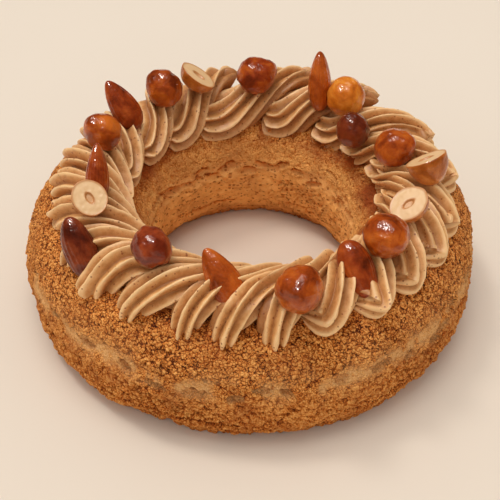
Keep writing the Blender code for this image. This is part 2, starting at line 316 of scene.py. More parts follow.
@dataclass(frozen=True)
class BakedCrust:
    """Choux pastry under a crumbly sugar crust, baked golden.

    The sugar crust breaks into grains of about 1 mm, in clumps of 3 to 4 mm, with thin cracks
    between them. The cracks are painted dark as painted shade, and the grain tops are painted
    lighter as a painted highlight. It is dry, so it has no shine. Where the ring stretched in
    the oven the paler choux shows, and inside the hole the dough is smoother and full of small
    burst pores.
    """

    # The ramp runs from crack through shade and golden to crumb. Its dark end is painted shade in
    # cracks and seams, and its light end is partly a painted highlight on grain tops.
    crack: str = "#4C1B04"
    shade: str = "#B85E1C"
    golden: str = "#E68E3E"
    crumb: str = "#FDB866"
    choux: str = "#F2C084"
    choux_shade: str = "#D99A52"
    toasted: str = "#A34C18"
    pore_floor: str = "#A4561E"
    roughness: float = 0.85
    grain: float = 1.08 * MM
    fine_grain: float = 0.45 * MM
    clump: float = 3.6 * MM
    pore: float = 1.5 * MM
    patch: float = 13.0 * MM
    bend_spacing: float = 1.4 * MM
    bend: float = 0.9 * MM
    bump_height: float = 0.5 * MM

    def build(self) -> bpy.types.Material:
        """Return the crust's material."""
        material, tree, shader = start_material("baked_choux_crust")
        place = add_node(tree, "TexCoord").outputs["Object"]
        crumb, pale, toast, porous = (
            add_node(tree, "Attribute", attribute_name=name).outputs["Fac"]
            for name in ("crumb", "pale", "toast", "porous")
        )
        fine = add_node(
            tree, "TexNoise",
            {"Vector": place, "Scale": 1.0 / self.fine_grain, "Detail": 3.0, "Roughness": 0.65},
        ).outputs["Fac"]
        wobble = add_node(
            tree, "TexNoise", {"Vector": place, "Scale": 1.0 / self.bend_spacing, "Detail": 2.0}
        ).outputs["Color"]
        bent = add_node(
            tree, "VectorMath", {0: wobble, 1: (self.bend,) * 3, 2: place},
            operation="MULTIPLY_ADD",
        ).outputs["Vector"]
        cell = add_node(tree, "TexVoronoi", {"Vector": bent, "Scale": 1.0 / self.grain})
        tone = add_node(tree, "SeparateColor", {"Color": cell.outputs["Color"]}).outputs["Red"]
        # The level is painted light and shade: the crumb mark is lighter on grain tops and darker
        # in hollows, and the seams between grains and clumps darken it further, over the grains'
        # own random tone.
        grainy = self.seams(tree, bent, self.grain, 0.16, porous, 0.8)
        clumped = self.seams(tree, bent, self.clump, 0.1, porous, 0.9)
        level = self.weigh(
            tree, ((crumb, 0.62), (grainy, 0.4), (clumped, 0.22), (tone, 0.16), (fine, 0.6))
        )
        lifted = add_node(tree, "Math", {0: level, 1: 0.6}, operation="SUBTRACT").outputs["Value"]
        sugar = add_node(
            tree, "ValToRGB", {"Fac": lifted},
            stops=((0.12, self.crack), (0.34, self.shade), (0.56, self.golden), (0.86, self.crumb)),
        ).outputs["Color"]
        blush = add_node(
            tree, "TexNoise",
            {"Vector": place, "Scale": 1.0 / self.patch, "Detail": 5.0, "Roughness": 0.6},
        ).outputs["Fac"]
        browned = add_node(
            tree, "MapRange", {"Value": blush, "From Min": 0.46, "From Max": 0.72, "To Max": 0.45}
        ).outputs["Result"]
        toasting = add_node(
            tree, "Math", {0: toast, 1: browned}, operation="ADD", use_clamp=True
        ).outputs["Value"]
        dough = add_node(
            tree, "ValToRGB", {"Fac": fine}, stops=((0.35, self.choux_shade), (0.6, self.choux))
        ).outputs["Color"]
        # Painted shade inside the pores, in the pore_floor colour.
        pored = self.pores(tree, bent, porous)
        colour = sugar
        for share, tint in ((toasting, self.toasted), (pale, dough), (pored, self.pore_floor)):
            colour = add_node(
                tree, "Mix", {0: share, 6: colour, 7: tint}, data_type="RGBA"
            ).outputs[2]
        relief = self.weigh(tree, ((grainy, 0.7), (clumped, 0.7), (fine, 0.7), (pored, -0.5)))
        bump = add_node(
            tree, "Bump", {"Height": relief, "Strength": 0.85, "Distance": self.bump_height}
        ).outputs["Normal"]
        feed(shader, {
            "Base Color": colour, "Normal": bump, "Roughness": self.roughness,
            "Specular IOR Level": 0.15,
        })
        return material

    def seams(
        self,
        tree: bpy.types.NodeTree,
        place: bpy.types.NodeSocket,
        spacing: float,
        width: float,
        porous: bpy.types.NodeSocket,
        calm: float,
    ) -> bpy.types.NodeSocket:
        """Part the crust into grains with thin seams between them.

        Args:
            tree: The material's node tree.
            place: The coordinates.
            spacing: The usual distance between the middles of two grains.
            width: How wide a seam is, over the spacing.
            porous: How porous the dough is, which hides the grains.
            calm: The level of fully porous dough.

        Returns:
            The socket of a level that is 0 in a seam and 1 on a grain.
        """
        edge = add_node(
            tree, "TexVoronoi", {"Vector": place, "Scale": 1.0 / spacing},
            feature="DISTANCE_TO_EDGE",
        ).outputs["Distance"]
        top = add_node(
            tree, "MapRange", {"Value": edge, "From Min": 0.01, "From Max": width},
            interpolation_type="SMOOTHSTEP",
        ).outputs["Result"]
        return add_node(
            tree, "Mix", {0: porous, 2: top, 3: calm}, data_type="FLOAT"
        ).outputs["Result"]

    def pores(
        self,
        tree: bpy.types.NodeTree,
        place: bpy.types.NodeSocket,
        porous: bpy.types.NodeSocket,
    ) -> bpy.types.NodeSocket:
        """Burst small pores in the porous dough, of many sizes and darkened as painted shade.

        Args:
            tree: The material's node tree.
            place: The coordinates.
            porous: How porous the dough is.

        Returns:
            The socket of a level that is above 0 inside a pore.
        """
        squat = add_node(
            tree, "Mapping", {"Vector": place, "Scale": (0.9, 0.9, 1.5)}
        ).outputs["Vector"]
        hole = add_node(tree, "TexVoronoi", {"Vector": squat, "Scale": 1.0 / self.pore})
        chance = add_node(tree, "SeparateColor", {"Color": hole.outputs["Color"]}).outputs["Red"]
        reach = add_node(tree, "Math", {0: chance, 1: 0.58}, operation="MULTIPLY").outputs["Value"]
        depth = add_node(
            tree, "Math", {0: reach, 1: hole.outputs["Distance"]}, operation="SUBTRACT"
        ).outputs["Value"]
        burst = add_node(
            tree, "MapRange", {"Value": depth, "From Max": 0.2, "To Max": 0.8}
        ).outputs["Result"]
        return add_node(
            tree, "Math", {0: burst, 1: porous}, operation="MULTIPLY"
        ).outputs["Value"]

    def weigh(
        self, tree: bpy.types.NodeTree, parts: tuple[tuple[bpy.types.NodeSocket, float], ...]
    ) -> bpy.types.NodeSocket:
        """Add up sockets, each times its own weight.

        Args:
            tree: The material's node tree.
            parts: The sockets and their weights.

        Returns:
            The socket of the sum.
        """
        total = 0.0
        for socket, weight in parts:
            total = add_node(
                tree, "Math", {0: socket, 1: weight, 2: total}, operation="MULTIPLY_ADD"
            ).outputs["Value"]
        return total


@dataclass(frozen=True)
class PralineCream:
    """Butter cream beaten with ground praline.

    It is soft and matt with a faint fat sheen, tan, and full of ground nut skin in specks of
    0.2 to 0.5 mm. Air bubbles leave it finely pitted. Most are finer than the pits here, which
    are as coarse as they need to be to show. Its grooves and the rope's underside are painted
    darker, as painted shade, and its ridge tops lighter, as a painted highlight.
    """

    body: str = "#DFA566"
    light: str = "#F0BC80"
    shade: str = "#C4874A"
    # groove is painted shade for the grooves and the rope's underside, and crest is a painted
    # highlight along the ridge tops.
    groove: str = "#9A5824"
    crest: str = "#FDD39A"
    skin: str = "#8C3E16"
    roughness: float = 0.5
    mottling: float = 3.0 * MM
    speck_spacing: float = 1.6 * MM
    bend_spacing: float = 0.5 * MM
    bend: float = 0.2 * MM
    pit: float = 0.45 * MM
    pit_depth: float = 0.2 * MM
    glow: tuple[float, float, float] = (4.0 * MM, 2.0 * MM, 1.0 * MM)

    def build(self) -> bpy.types.Material:
        """Return the cream's material."""
        material, tree, shader = start_material("praline_butter_cream")
        place = add_node(tree, "TexCoord").outputs["Object"]
        mottle = add_node(
            tree, "TexNoise",
            {"Vector": place, "Scale": 1.0 / self.mottling, "Detail": 6.0, "Roughness": 0.72},
        ).outputs["Fac"]
        colour = add_node(
            tree, "ValToRGB", {"Fac": mottle},
            stops=((0.3, self.shade), (0.5, self.body), (0.72, self.light)),
        ).outputs["Color"]
        wobble = add_node(
            tree, "TexNoise", {"Vector": place, "Scale": 1.0 / self.bend_spacing, "Detail": 2.0}
        ).outputs["Color"]
        bent = add_node(
            tree, "Mix", {0: self.bend, 6: place, 7: wobble}, data_type="RGBA", blend_type="ADD"
        ).outputs[2]
        cell = add_node(tree, "TexVoronoi", {"Vector": bent, "Scale": 1.0 / self.speck_spacing})
        chance = add_node(tree, "SeparateColor", {"Color": cell.outputs["Color"]}).outputs["Red"]
        reach = add_node(
            tree, "MapRange", {"Value": chance, "From Min": 0.1, "To Max": 0.36}
        ).outputs["Result"]
        inside = add_node(
            tree, "Math", {0: reach, 1: cell.outputs["Distance"]}, operation="SUBTRACT"
        ).outputs["Value"]
        speck = add_node(
            tree, "MapRange", {"Value": inside, "From Max": 0.14, "To Max": 0.75}
        ).outputs["Result"]
        # Painted shade in the grooves and under the rope, and a painted highlight on the ridge
        # tops, both marked by the rope.
        painted_groove_shade, ridge = (
            add_node(tree, "Attribute", attribute_name=name).outputs["Fac"]
            for name in ("painted_groove_shade", "ridge")
        )
        for share, tint in ((painted_groove_shade, self.groove), (ridge, self.crest), (speck, self.skin)):
            colour = add_node(
                tree, "Mix", {0: share, 6: colour, 7: tint}, data_type="RGBA"
            ).outputs[2]
        pits = add_node(
            tree, "TexNoise",
            {"Vector": place, "Scale": 1.0 / self.pit, "Detail": 4.0, "Roughness": 0.6},
        ).outputs["Fac"]
        bump = add_node(
            tree, "Bump", {"Height": pits, "Strength": 0.45, "Distance": self.pit_depth}
        ).outputs["Normal"]
        feed(shader, {
            "Base Color": colour, "Normal": bump, "Roughness": self.roughness,
            "Specular IOR Level": 0.35, "Subsurface Weight": 0.06,
            "Subsurface Radius": self.glow, "Subsurface Scale": 0.6,
        })
        return material


@dataclass(frozen=True)
class CaramelCoat:
    """Roasted nut under a thin coat of boiled sugar.

    The caramel is clear, so the coat is a sharp clear gloss, and the skin under it goes from
    amber where it is thin to nearly black where the sugar has run together.
    """

    name: str
    amber: str
    brown: str
    dark: str
    patch: float = 7.5 * MM
    ripple: float = 2.0 * MM
    ripple_height: float = 0.6 * MM
    roughness: float = 0.3
    glow: tuple[float, float, float] = (3.0 * MM, 1.0 * MM, 0.4 * MM)

    def build(self) -> bpy.types.Material:
        """Return the coated nut's material."""
        material, tree, shader = start_material(self.name)
        place = add_node(tree, "TexCoord").outputs["Object"]
        blotch = add_node(
            tree, "TexNoise",
            {"Vector": place, "Scale": 1.0 / self.patch, "Detail": 5.0, "Roughness": 0.58,
             "Distortion": 0.4},
        ).outputs["Fac"]
        colour = add_node(
            tree, "ValToRGB", {"Fac": blotch},
            stops=((0.3, self.dark), (0.48, self.brown), (0.68, self.amber)),
        ).outputs["Color"]
        ripples = add_node(
            tree, "TexNoise",
            {"Vector": place, "Scale": 1.0 / self.ripple, "Detail": 2.5, "Roughness": 0.5},
        ).outputs["Fac"]
        bump = add_node(
            tree, "Bump", {"Height": ripples, "Strength": 0.7, "Distance": self.ripple_height}
        ).outputs["Normal"]
        feed(shader, {
            "Base Color": colour, "Normal": bump, "Coat Normal": bump,
            "Roughness": self.roughness, "Specular IOR Level": 0.15,
            "Coat Weight": 0.75, "Coat IOR": 1.43, "Coat Roughness": 0.05,
            "Subsurface Weight": 0.1, "Subsurface Radius": self.glow, "Subsurface Scale": 0.5,
        })
        return material


@dataclass(frozen=True)
class CutKernel:
    """The roasted flesh of a hazelnut cut through with a knife.

    It is dense, pale tan and faintly waxy, and browner round the rim and the hollow.
    """

    flesh: str = "#EFC994"
    warm: str = "#C98648"
    roughness: float = 0.45
    mottling: float = 2.2 * MM
    knife_marks: float = 0.2 * MM

    def build(self) -> bpy.types.Material:
        """Return the cut face's material."""
        material, tree, shader = start_material("cut_hazelnut_kernel")
        place = add_node(tree, "TexCoord").outputs["Object"]
        rim = add_node(tree, "Attribute", attribute_name="rim").outputs["Fac"]
        mottle = add_node(
            tree, "TexNoise", {"Vector": place, "Scale": 1.0 / self.mottling, "Detail": 4.0}
        ).outputs["Fac"]
        share = add_node(
            tree, "Math", {0: mottle, 1: 0.4, 2: rim}, operation="MULTIPLY_ADD", use_clamp=True
        ).outputs["Value"]
        colour = add_node(
            tree, "Mix", {0: share, 6: self.flesh, 7: self.warm}, data_type="RGBA"
        ).outputs[2]
        bump = add_node(
            tree, "Bump", {"Height": mottle, "Strength": 0.25, "Distance": self.knife_marks}
        ).outputs["Normal"]
        feed(shader, {"Base Color": colour, "Normal": bump, "Roughness": self.roughness})
        return material


@dataclass(frozen=True)
class PaintedBoard:
    """The studio's matt painted floor board, in warm off-white."""

    paint: str = "#E5DACC"
    worn: str = "#E3D8CA"
    roughness: float = 0.9

    def build(self) -> bpy.types.Material:
        """Return the floor's material."""
        material, tree, shader = start_material("painted_floor_board")
        place = add_node(tree, "TexCoord").outputs["Object"]
        wash = add_node(
            tree, "TexNoise", {"Vector": place, "Scale": 6.0, "Detail": 2.0}
        ).outputs["Fac"]
        colour = add_node(
            tree, "ValToRGB", {"Fac": wash}, stops=((0.3, self.worn), (0.7, self.paint))
        ).outputs["Color"]
        feed(shader, {
            "Base Color": colour, "Roughness": self.roughness, "Specular IOR Level": 0.2,
        })
        return material


# ------------------------------------------------------------------ choux ring


class Side(Enum):
    """The two halves of the ring's shell, which meet under the cream and under the base."""

    OUTER = 1
    INNER = -1


@dataclass(frozen=True)
class Blister:
    """A burst bubble in the stretched band: where it is, its size and its slant."""

    azimuth: float
    height: float
    length: float
    width: float
    depth: float
    slant: float


@dataclass
class ChouxRing:
    """The baked ring, a squarish superellipse turned about Z and cut flat underneath."""

    centre_radius: float = 64.5 * MM
    half_width: float = 25.0 * MM
    widest_height: float = 18.0 * MM
    rise: float = 28.0 * MM
    drop: float = 22.0 * MM
    squareness: float = 2.6
    lump: float = 1.1 * MM
    lump_spacing: float = 24.0 * MM
    even_above: float = 40.0 * MM
    steps: dict[Side, int] = field(default_factory=lambda: {Side.OUTER: 860, Side.INNER: 620})
    rows: dict[Side, int] = field(default_factory=lambda: {Side.OUTER: 96, Side.INNER: 100})
    hidden_rows: int = 8
    band_height: float = 28.5 * MM
    band_half_width: float = 2.8 * MM
    crumb_spacing: float = 1.6 * MM
    crumb_height: float = 0.42 * MM
    knob_spacing: float = 4.2 * MM
    knob_height: float = 0.95 * MM
    split_spacing: float = 8.0 * MM
    split_depth: float = 1.2 * MM
    pore_spacing: float = 2.1 * MM
    base_cracks: tuple[float, ...] = (5.0 * MM, 10.5 * MM)
    base_crack_depth: float = 1.3 * MM
    cream_reach: float = 14.0 * MM

    def curve(self, side: Side) -> tuple[np.ndarray, np.ndarray]:
        """List the radii and heights of one side's wall, from the base to the middle of the top.

        Args:
            side: Which half of the ring.

        Returns:
            The radii and the heights, evenly spaced except where the cream hides the crust.
        """
        exponent = 2.0 / self.squareness
        low = -math.asin((self.widest_height / self.drop) ** (1.0 / exponent))
        angle = np.linspace(low, math.pi / 2.0, 4000)
        reach = self.half_width * np.abs(np.cos(angle)) ** exponent
        tall = np.where(angle > 0.0, self.rise, self.drop)
        height = self.widest_height + tall * np.sign(angle) * np.abs(np.sin(angle)) ** exponent
        run = np.concatenate([[0.0], np.cumsum(np.hypot(np.diff(reach), np.diff(height)))])
        hidden_from = np.interp(12.0 * MM, reach[::-1], run[::-1])
        shown = np.linspace(0.0, hidden_from, self.rows[side], endpoint=False)
        hidden = np.linspace(hidden_from, run[-1], self.hidden_rows)
        spots = np.concatenate([shown, hidden])
        radius = self.centre_radius + side.value * np.interp(spots, run, reach)
        return radius, np.interp(spots, run, height)

    def shell(self, side: Side) -> bmesh.types.BMesh:
        """Turn one half of the section into a closed shell.

        Args:
            side: Which half of the ring.

        Returns:
            The smooth shell, before the crust is roughened.
        """
        radius, height = self.curve(side)
        radius = np.append(radius, [self.centre_radius, radius[0] * 0.4 + self.centre_radius * 0.6])
        height = np.append(height, [0.0, 0.0])
        height[0] = 0.0
        bm = bmesh.new()
        loop = bmesh.ops.create_circle(bm, segments=len(radius), radius=1.0)["verts"]
        for vert, out, up in zip(loop, radius, height):
            vert.co = (out, 0.0, up)
        bmesh.ops.spin(
            bm, geom=bm.verts[:] + bm.edges[:], cent=(0, 0, 0), axis=(0, 0, 1),
            angle=math.tau, steps=self.steps[side], use_merge=True,
        )
        bmesh.ops.remove_doubles(bm, verts=bm.verts, dist=0.005 * MM)
        bmesh.ops.recalc_face_normals(bm, faces=bm.faces)
        return bm

    def blisters(self, side: Side) -> list[Blister]:
        """Scatter burst bubbles along the stretched band.

        Args:
            side: Which half of the ring.

        Returns:
            The bubbles, some in short runs.
        """
        draw = np.random.default_rng(11 if side is Side.OUTER else 23)
        found = []
        azimuth = 0.0
        while azimuth < 360.0:
            found.append(
                Blister(
                    azimuth=azimuth,
                    height=self.band_height + draw.normal(-0.5, 2.0) * MM,
                    length=draw.uniform(4.5, 10.0) * MM,
                    width=draw.uniform(2.6, 4.4) * MM,
                    depth=draw.uniform(1.6, 2.8) * MM,
                    slant=draw.normal(0.0, 0.12),
                )
            )
            azimuth += draw.choice([4.5, 6.0, 8.0, 11.0]) * draw.uniform(0.8, 1.2)
        return found

    def burst_open(
        self, side: Side, points: np.ndarray, level: np.ndarray, ragged: np.ndarray
    ) -> tuple[np.ndarray, np.ndarray, np.ndarray]:
        """Work out the relief of the burst bubbles.

        Args:
            side: Which half of the ring.
            points: The smooth shell's points.
            level: Their heights, as the band of bubbles wanders.
            ragged: How ragged the bubbles' outlines are at each point.

        Returns:
            How far the bubbles stand off the shell, how much painted shade falls under their
            brows, and how pale their floors are.
        """
        reach = np.hypot(points[:, 0], points[:, 1])
        around = np.arctan2(points[:, 1], points[:, 0])
        depth_share = 0.6 if side is Side.INNER else 1.0
        rise, hollow, floor = np.zeros((3, len(points)))
        for blister in self.blisters(side):
            turn = (around - math.radians(blister.azimuth) + math.pi) % math.tau - math.pi
            along = turn * reach
            up = level - blister.height - along * blister.slant
            size = (along / (0.5 * blister.length)) ** 2 + (up / (0.5 * blister.width)) ** 2
            size *= 1.0 + 0.6 * ragged
            dip = np.sqrt(np.clip(1.0 - size, 0.0, 1.0))
            rise -= depth_share * blister.depth * dip
            rise += 0.3 * MM * np.exp(-((size - 1.5) ** 2) * 3.0)
            # hollow here is painted shade, faint over the whole bubble and strongest under its
            # upper rim, the brow.
            brow = smooth_step(-0.2, 0.7, up / (0.5 * blister.width))
            inside = smooth_step(0.0, 0.3, dip)
            hollow = np.maximum(hollow, inside * (0.2 + 1.1 * brow))
            floor = np.maximum(floor, inside * (1.0 - brow))
        return rise, hollow, floor

    def relief(
        self, side: Side, points: np.ndarray
    ) -> tuple[np.ndarray, dict[str, np.ndarray], np.ndarray]:
        """Work out how far the crust stands off the smooth shell.

        Args:
            side: Which half of the ring.
            points: The smooth shell's points.

        Returns:
            The distance at each point, the numbers that the finish reads, and how stretched the
            crust is, from 0 to 1, which keeps loose crumbs off.
        """
        inner = side is Side.INNER
        height = points[:, 2]
        reach = np.hypot(points[:, 0], points[:, 1])
        wander = 1.6 * MM * drift(points, 26.0 * MM, 3) + 0.8 * MM * drift(points, 8.0 * MM, 4)
        level = height + wander
        off_band = level - self.band_height
        patches = drift(points, 9.0 * MM, 5) + 0.5 * drift(points, 2.5 * MM, 12)
        patchy = smooth_step(-0.5, 0.25, patches)
        band = np.exp(-((off_band / self.band_half_width) ** 2)) * patchy
        halo = np.exp(-((off_band / (2.6 * self.band_half_width)) ** 2))
        upper = smooth_step(-1.0 * MM, 5.0 * MM, off_band)
        lower = smooth_step(0.0, -7.0 * MM, off_band)
        # Crumbs, the knobs they clump into, and the splits between clumps.
        warp = np.stack([drift(points, 1.6 * MM, seed) for seed in (31, 32, 33)], axis=1)
        bent = points + warp * 0.5 * MM
        crumb_top, crumb_crack, crumb_tone = knobs(bent, self.crumb_spacing, 41, 0.75, 0.15)
        knob_top, knob_crack, knob_tone = knobs(
            bent * (1.0, 1.0, 1.4), self.knob_spacing, 51, 0.8, 0.12
        )
        torn = (bent + warp * 0.9 * MM) * (1.0, 1.0, 1.8)
        _, split, _ = knobs(torn, self.split_spacing, 61, 1.0, 0.1)
        split *= smooth_step(0.0, 0.4, drift(points, 16.0 * MM, 6))
        split *= np.maximum(0.5 * upper, lower)
        # Long cracks that follow the base.
        ledge = np.zeros(len(points))
        for number, crack_height in enumerate(self.base_cracks):
            seed = 15 + 2 * number
            off_crack = height + 1.1 * MM * drift(points, 7.0 * MM, seed) - crack_height
            broken = smooth_step(-0.3, 0.2, drift(points, 11.0 * MM, seed + 1))
            ledge = np.maximum(ledge, np.exp(-((off_crack / (0.6 * MM)) ** 2)) * broken)
        ledge *= lower
        crumby = (0.5 * upper + 0.45) if inner else np.maximum(upper, 0.75 * lower) * 0.8 + 0.2
        knobby = (0.35 * upper + 0.5 * lower) if inner else 0.4 * upper + 0.95 * lower
        rise = 0.55 * MM * drift(points, 8.0 * MM, 7) + 0.3 * MM * drift(points, 3.5 * MM, 8)
        rise += self.crumb_height * crumby * (
            crumb_top * (0.6 + 0.7 * crumb_tone) - 0.5 * crumb_crack
        )
        rise += self.knob_height * knobby * (knob_top * (0.5 + 0.8 * knob_tone) - 0.5 * knob_crack)
        rise -= 0.35 * MM * band + self.split_depth * split + self.base_crack_depth * ledge
        # hollow is painted shade: it darkens the crumb mark in cracks, splits, base cracks, pores
        # and under the blister brows.
        hollow = 0.35 * crumb_crack * crumby + 0.5 * knob_crack * knobby + 0.7 * split
        hollow += 0.9 * ledge
        # Pores, and the bubbles that burst where the ring stretched.
        pit, _, pore_tone = knobs(bent * (1.0, 1.0, 1.5), self.pore_spacing, 71, 0.4, 1.0)
        porous = np.clip((1.0 if inner else 0.3) * (lower + 0.8 * band), 0.0, 1.0)
        pit *= (pore_tone > 0.5) * porous
        rise -= (0.8 if inner else 0.6) * MM * pit
        blister_rise, painted_blister_shade, burst = self.burst_open(side, points, level, warp[:, 0])
        rise += blister_rise
        hollow = np.maximum(np.maximum(hollow, 0.7 * pit), painted_blister_shade)
        # The lip at the base, and the smooth strips under the cream and the base.
        lip = smooth_step(2.4 * MM, 0.6 * MM, height + 0.8 * MM * drift(points, 5.0 * MM, 9))
        rise += 0.8 * MM * lip
        free = smooth_step(0.0, 1.2 * MM, height) * smooth_step(
            3.0 * MM, 9.0 * MM, np.abs(reach - self.centre_radius)
        )
        # The crumb mark is painted light and shade: lighter on grain tops as a painted highlight
        # and darker in hollows as painted shade, over each grain's own tone.
        grain_top = crumb_top + knobby * 0.5 * (knob_top - 0.4)
        crumb = 0.34 + 0.4 * grain_top + 0.2 * (crumb_tone - 0.5) - 0.9 * hollow
        if inner:
            # The inner wall's crumb mark is raised as painted light, standing in for light that
            # reaches it too little. It is raised less just under the cream.
            near_cream = smooth_step(34.0 * MM, 41.5 * MM, level)
            crumb += 0.74 - 0.55 * near_cream
            toast = np.clip(0.4 + 0.7 * drift(points, 6.0 * MM, 14), 0.0, 0.8) * near_cream
            toast += 0.5 * lip + 0.3 * smooth_step(11.0 * MM, 3.0 * MM, height)
        else:
            crumb += 0.1 * lower
            toast = 0.1 * lower + 0.3 * lip + 0.2 * (knob_tone - 0.45) * knobby
        pale = np.clip(0.8 * band + 0.25 * halo * patchy, 0.0, 0.85) * (1.0 - 0.7 * hollow)
        pale = np.maximum(pale, 0.6 * burst) * (0.35 if inner else 1.0)
        porous += 0.25 if inner else 0.3 * band
        marks = {"crumb": crumb, "pale": pale, "toast": toast, "porous": porous}
        marks = {mark: np.clip(values, 0.0, 1.0) for mark, values in marks.items()}
        return rise * free, marks, np.maximum(burst, 0.8 * band)

    def build(self, finish: bpy.types.Material) -> None:
        """Build both halves of the ring and dress them.

        Args:
            finish: The crust's material.
        """
        for side, name in ((Side.OUTER, "choux_outer_crust"), (Side.INNER, "choux_inner_wall")):
            piece = make_piece(name, self.shell(side), [finish])
            points = points_of(piece)
            outward = normals_of(piece)
            away = np.abs(np.hypot(points[:, 0], points[:, 1]) - self.centre_radius)
            lumps = np.array([noise.noise(Vector(spot) / self.lump_spacing) for spot in points])
            lumps *= self.lump * smooth_step(
                self.even_above, self.even_above - 4.0 * MM, points[:, 2]
            )
            lumps *= smooth_step(3.0 * MM, 9.0 * MM, away)
            at_base = points[:, 2] < 0.05 * MM
            outward[at_base, 2] = 0.0
            rise, marks, stretched = self.relief(side, points)
            points += outward * (lumps + rise)[:, None]
            points[at_base, 2] = 0.0
            points[:, 2] = np.maximum(points[:, 2], 0.0)
            move_points(piece, points)
            for mark, values in marks.items():
                mark_points(piece, mark, values)
            seat_piece(piece, "choux_ring")
            if side is Side.OUTER:
                bare = (away > self.cream_reach) & (points[:, 2] > 0.5 * MM)
                likely = bare * (1.0 - 0.95 * stretched)
                above = points[:, 2] > self.band_height
                for crumbs, share in (
                    (SugarCrumbs("upper_sugar_crumbs"), likely * above),
                    (SugarCrumbs("lower_sugar_crumbs"), likely * ~above),
                ):
                    crumbs.build(points, normals_of(piece), share, marks, finish)


@dataclass
class SugarCrumbs:
    """Single grains of the baked sugar crust that stand proud of the ring."""

    name: str
    doublings: int = 13
    usual_size: float = 1.0 * MM
    size_spread: float = 0.28
    smallest: float = 0.55
    largest: float = 1.7
    flattened: float = 0.45
    sunk: float = 0.18

    def build(
        self,
        bed: np.ndarray,
        outward: np.ndarray,
        share: np.ndarray,
        marks: dict[str, np.ndarray],
        finish: bpy.types.Material,
    ) -> None:
        """Strew the grains over the crust.

        Args:
            bed: The crust's points.
            outward: The normals there.
            share: How likely a grain is at each point.
            marks: The numbers that the crust's finish reads at each point.
            finish: The crust's material.
        """
        draw = np.random.default_rng(len(self.name) + 70)
        bm = bmesh.new()
        bmesh.ops.create_icosphere(bm, subdivisions=1, radius=1.0)
        corners = len(bm.verts)
        for _ in range(self.doublings):
            bmesh.ops.duplicate(bm, geom=bm.verts[:] + bm.edges[:] + bm.faces[:])
        piece = make_piece(self.name, bm, [finish])
        count = 2**self.doublings
        unit = points_of(piece).reshape(count, corners, 3)
        spots = draw.choice(len(bed), count, replace=False, p=share / share.sum())
        size = draw.normal(1.0, self.size_spread, count)
        size = self.usual_size * np.clip(size, self.smallest, self.largest)
        stretch = draw.uniform(0.75, 1.2, (count, 1, 3))
        stretch = stretch * draw.uniform(0.8, 1.15, (count, corners))[..., None]
        grain = unit * stretch * 0.5 * size[:, None, None]
        turns, _ = np.linalg.qr(draw.normal(size=(count, 3, 3)))
        turns *= np.sign(np.linalg.det(turns))[:, None, None]
        grain = np.einsum("nij,nkj->nki", turns, grain)
        normal = outward[spots][:, None, :]
        grain -= self.flattened * normal * np.sum(grain * normal, axis=2, keepdims=True)
        place = bed[spots] - outward[spots] * (self.sunk * size)[:, None]
        place[:, 2] = np.maximum(place[:, 2], size)
        move_points(piece, (grain + place[:, None, :]).reshape(-1, 3))
        lightness = draw.uniform(0.45, 0.95, count)
        # Each grain's crumb mark is lighter on its outward face and darker towards the crust, as
        # painted light and shade, over its own random lightness.
        top = np.einsum("nki,ni->nk", grain, outward[spots]) / size[:, None]
        toast = np.clip(marks["toast"][spots] + draw.normal(0.0, 0.1, count), 0.0, 1.0)
        tones = {
            "crumb": np.clip(lightness[:, None] + 0.7 * top - 0.05, 0.0, 1.0),
            "pale": np.repeat(0.5 * marks["pale"][spots], corners),
            "toast": np.repeat(toast, corners),
            "porous": np.full(count * corners, 0.6),
        }
        for mark, values in tones.items():
            mark_points(piece, mark, values.ravel())
        seat_piece(piece, "choux_ring")


# ------------------------------------------------------------------ cream


class Foot(Enum):
    """How a swirl meets the crust: pointing down it in teeth, or curled back along the ring."""

    TEETH = "teeth"
    CURL = "curl"


@dataclass(frozen=True)
class Swirl:
    """One pass of the piping bag over the ring, from its outer foot to its inner foot.

    The crest is an azimuth, and the outer and inner numbers are how many degrees the rope has
    swung from it half-way down, at its foot and at its tail.
    """

    crest: float
    outer: tuple[float, float, float] = (6.0, 11.0, 16.0)
    inner: tuple[float, float, float] = (8.0, 19.0, 28.0)
    foot: Foot = Foot.CURL


SWIRLS = (
    Swirl(353, (6.5, 9.5, 13)), Swirl(14), Swirl(33, inner=(7, 17, 27)),
    Swirl(59, (4.5, 7.5, 9), (8, 17, 26)), Swirl(84, inner=(8, 21, 34)),
    Swirl(111, inner=(7, 16, 25)),
    Swirl(130, inner=(5, 16, 24)), Swirl(148, inner=(7, 18, 27)), Swirl(163),
    Swirl(176), Swirl(190, (8, 12, 17)), Swirl(204, (8, 12, 17)),
    Swirl(217, (5, 8, 10), (7, 15, 22), Foot.TEETH),
    Swirl(230, (4, 6, 6.5), (9, 18, 25), Foot.TEETH),
    Swirl(249, (7.5, 12.5, 13.5), (9, 18, 25), Foot.TEETH),
    Swirl(260, (5.5, 8, 8.5), (9, 18, 25), Foot.TEETH),
    Swirl(272.5, (6, 9.5, 10), (9, 18, 25), Foot.TEETH),
    Swirl(284, (5.5, 8, 8.5), (8, 16, 24), Foot.TEETH), Swirl(299, (5, 10, 15.5)),
    Swirl(312, (4, 8.5, 13.5), (11, 23, 31)), Swirl(326, (5, 10, 14), (13, 25, 33)),
    Swirl(340.5, (6, 10.5, 15), (13, 25, 33)),
)


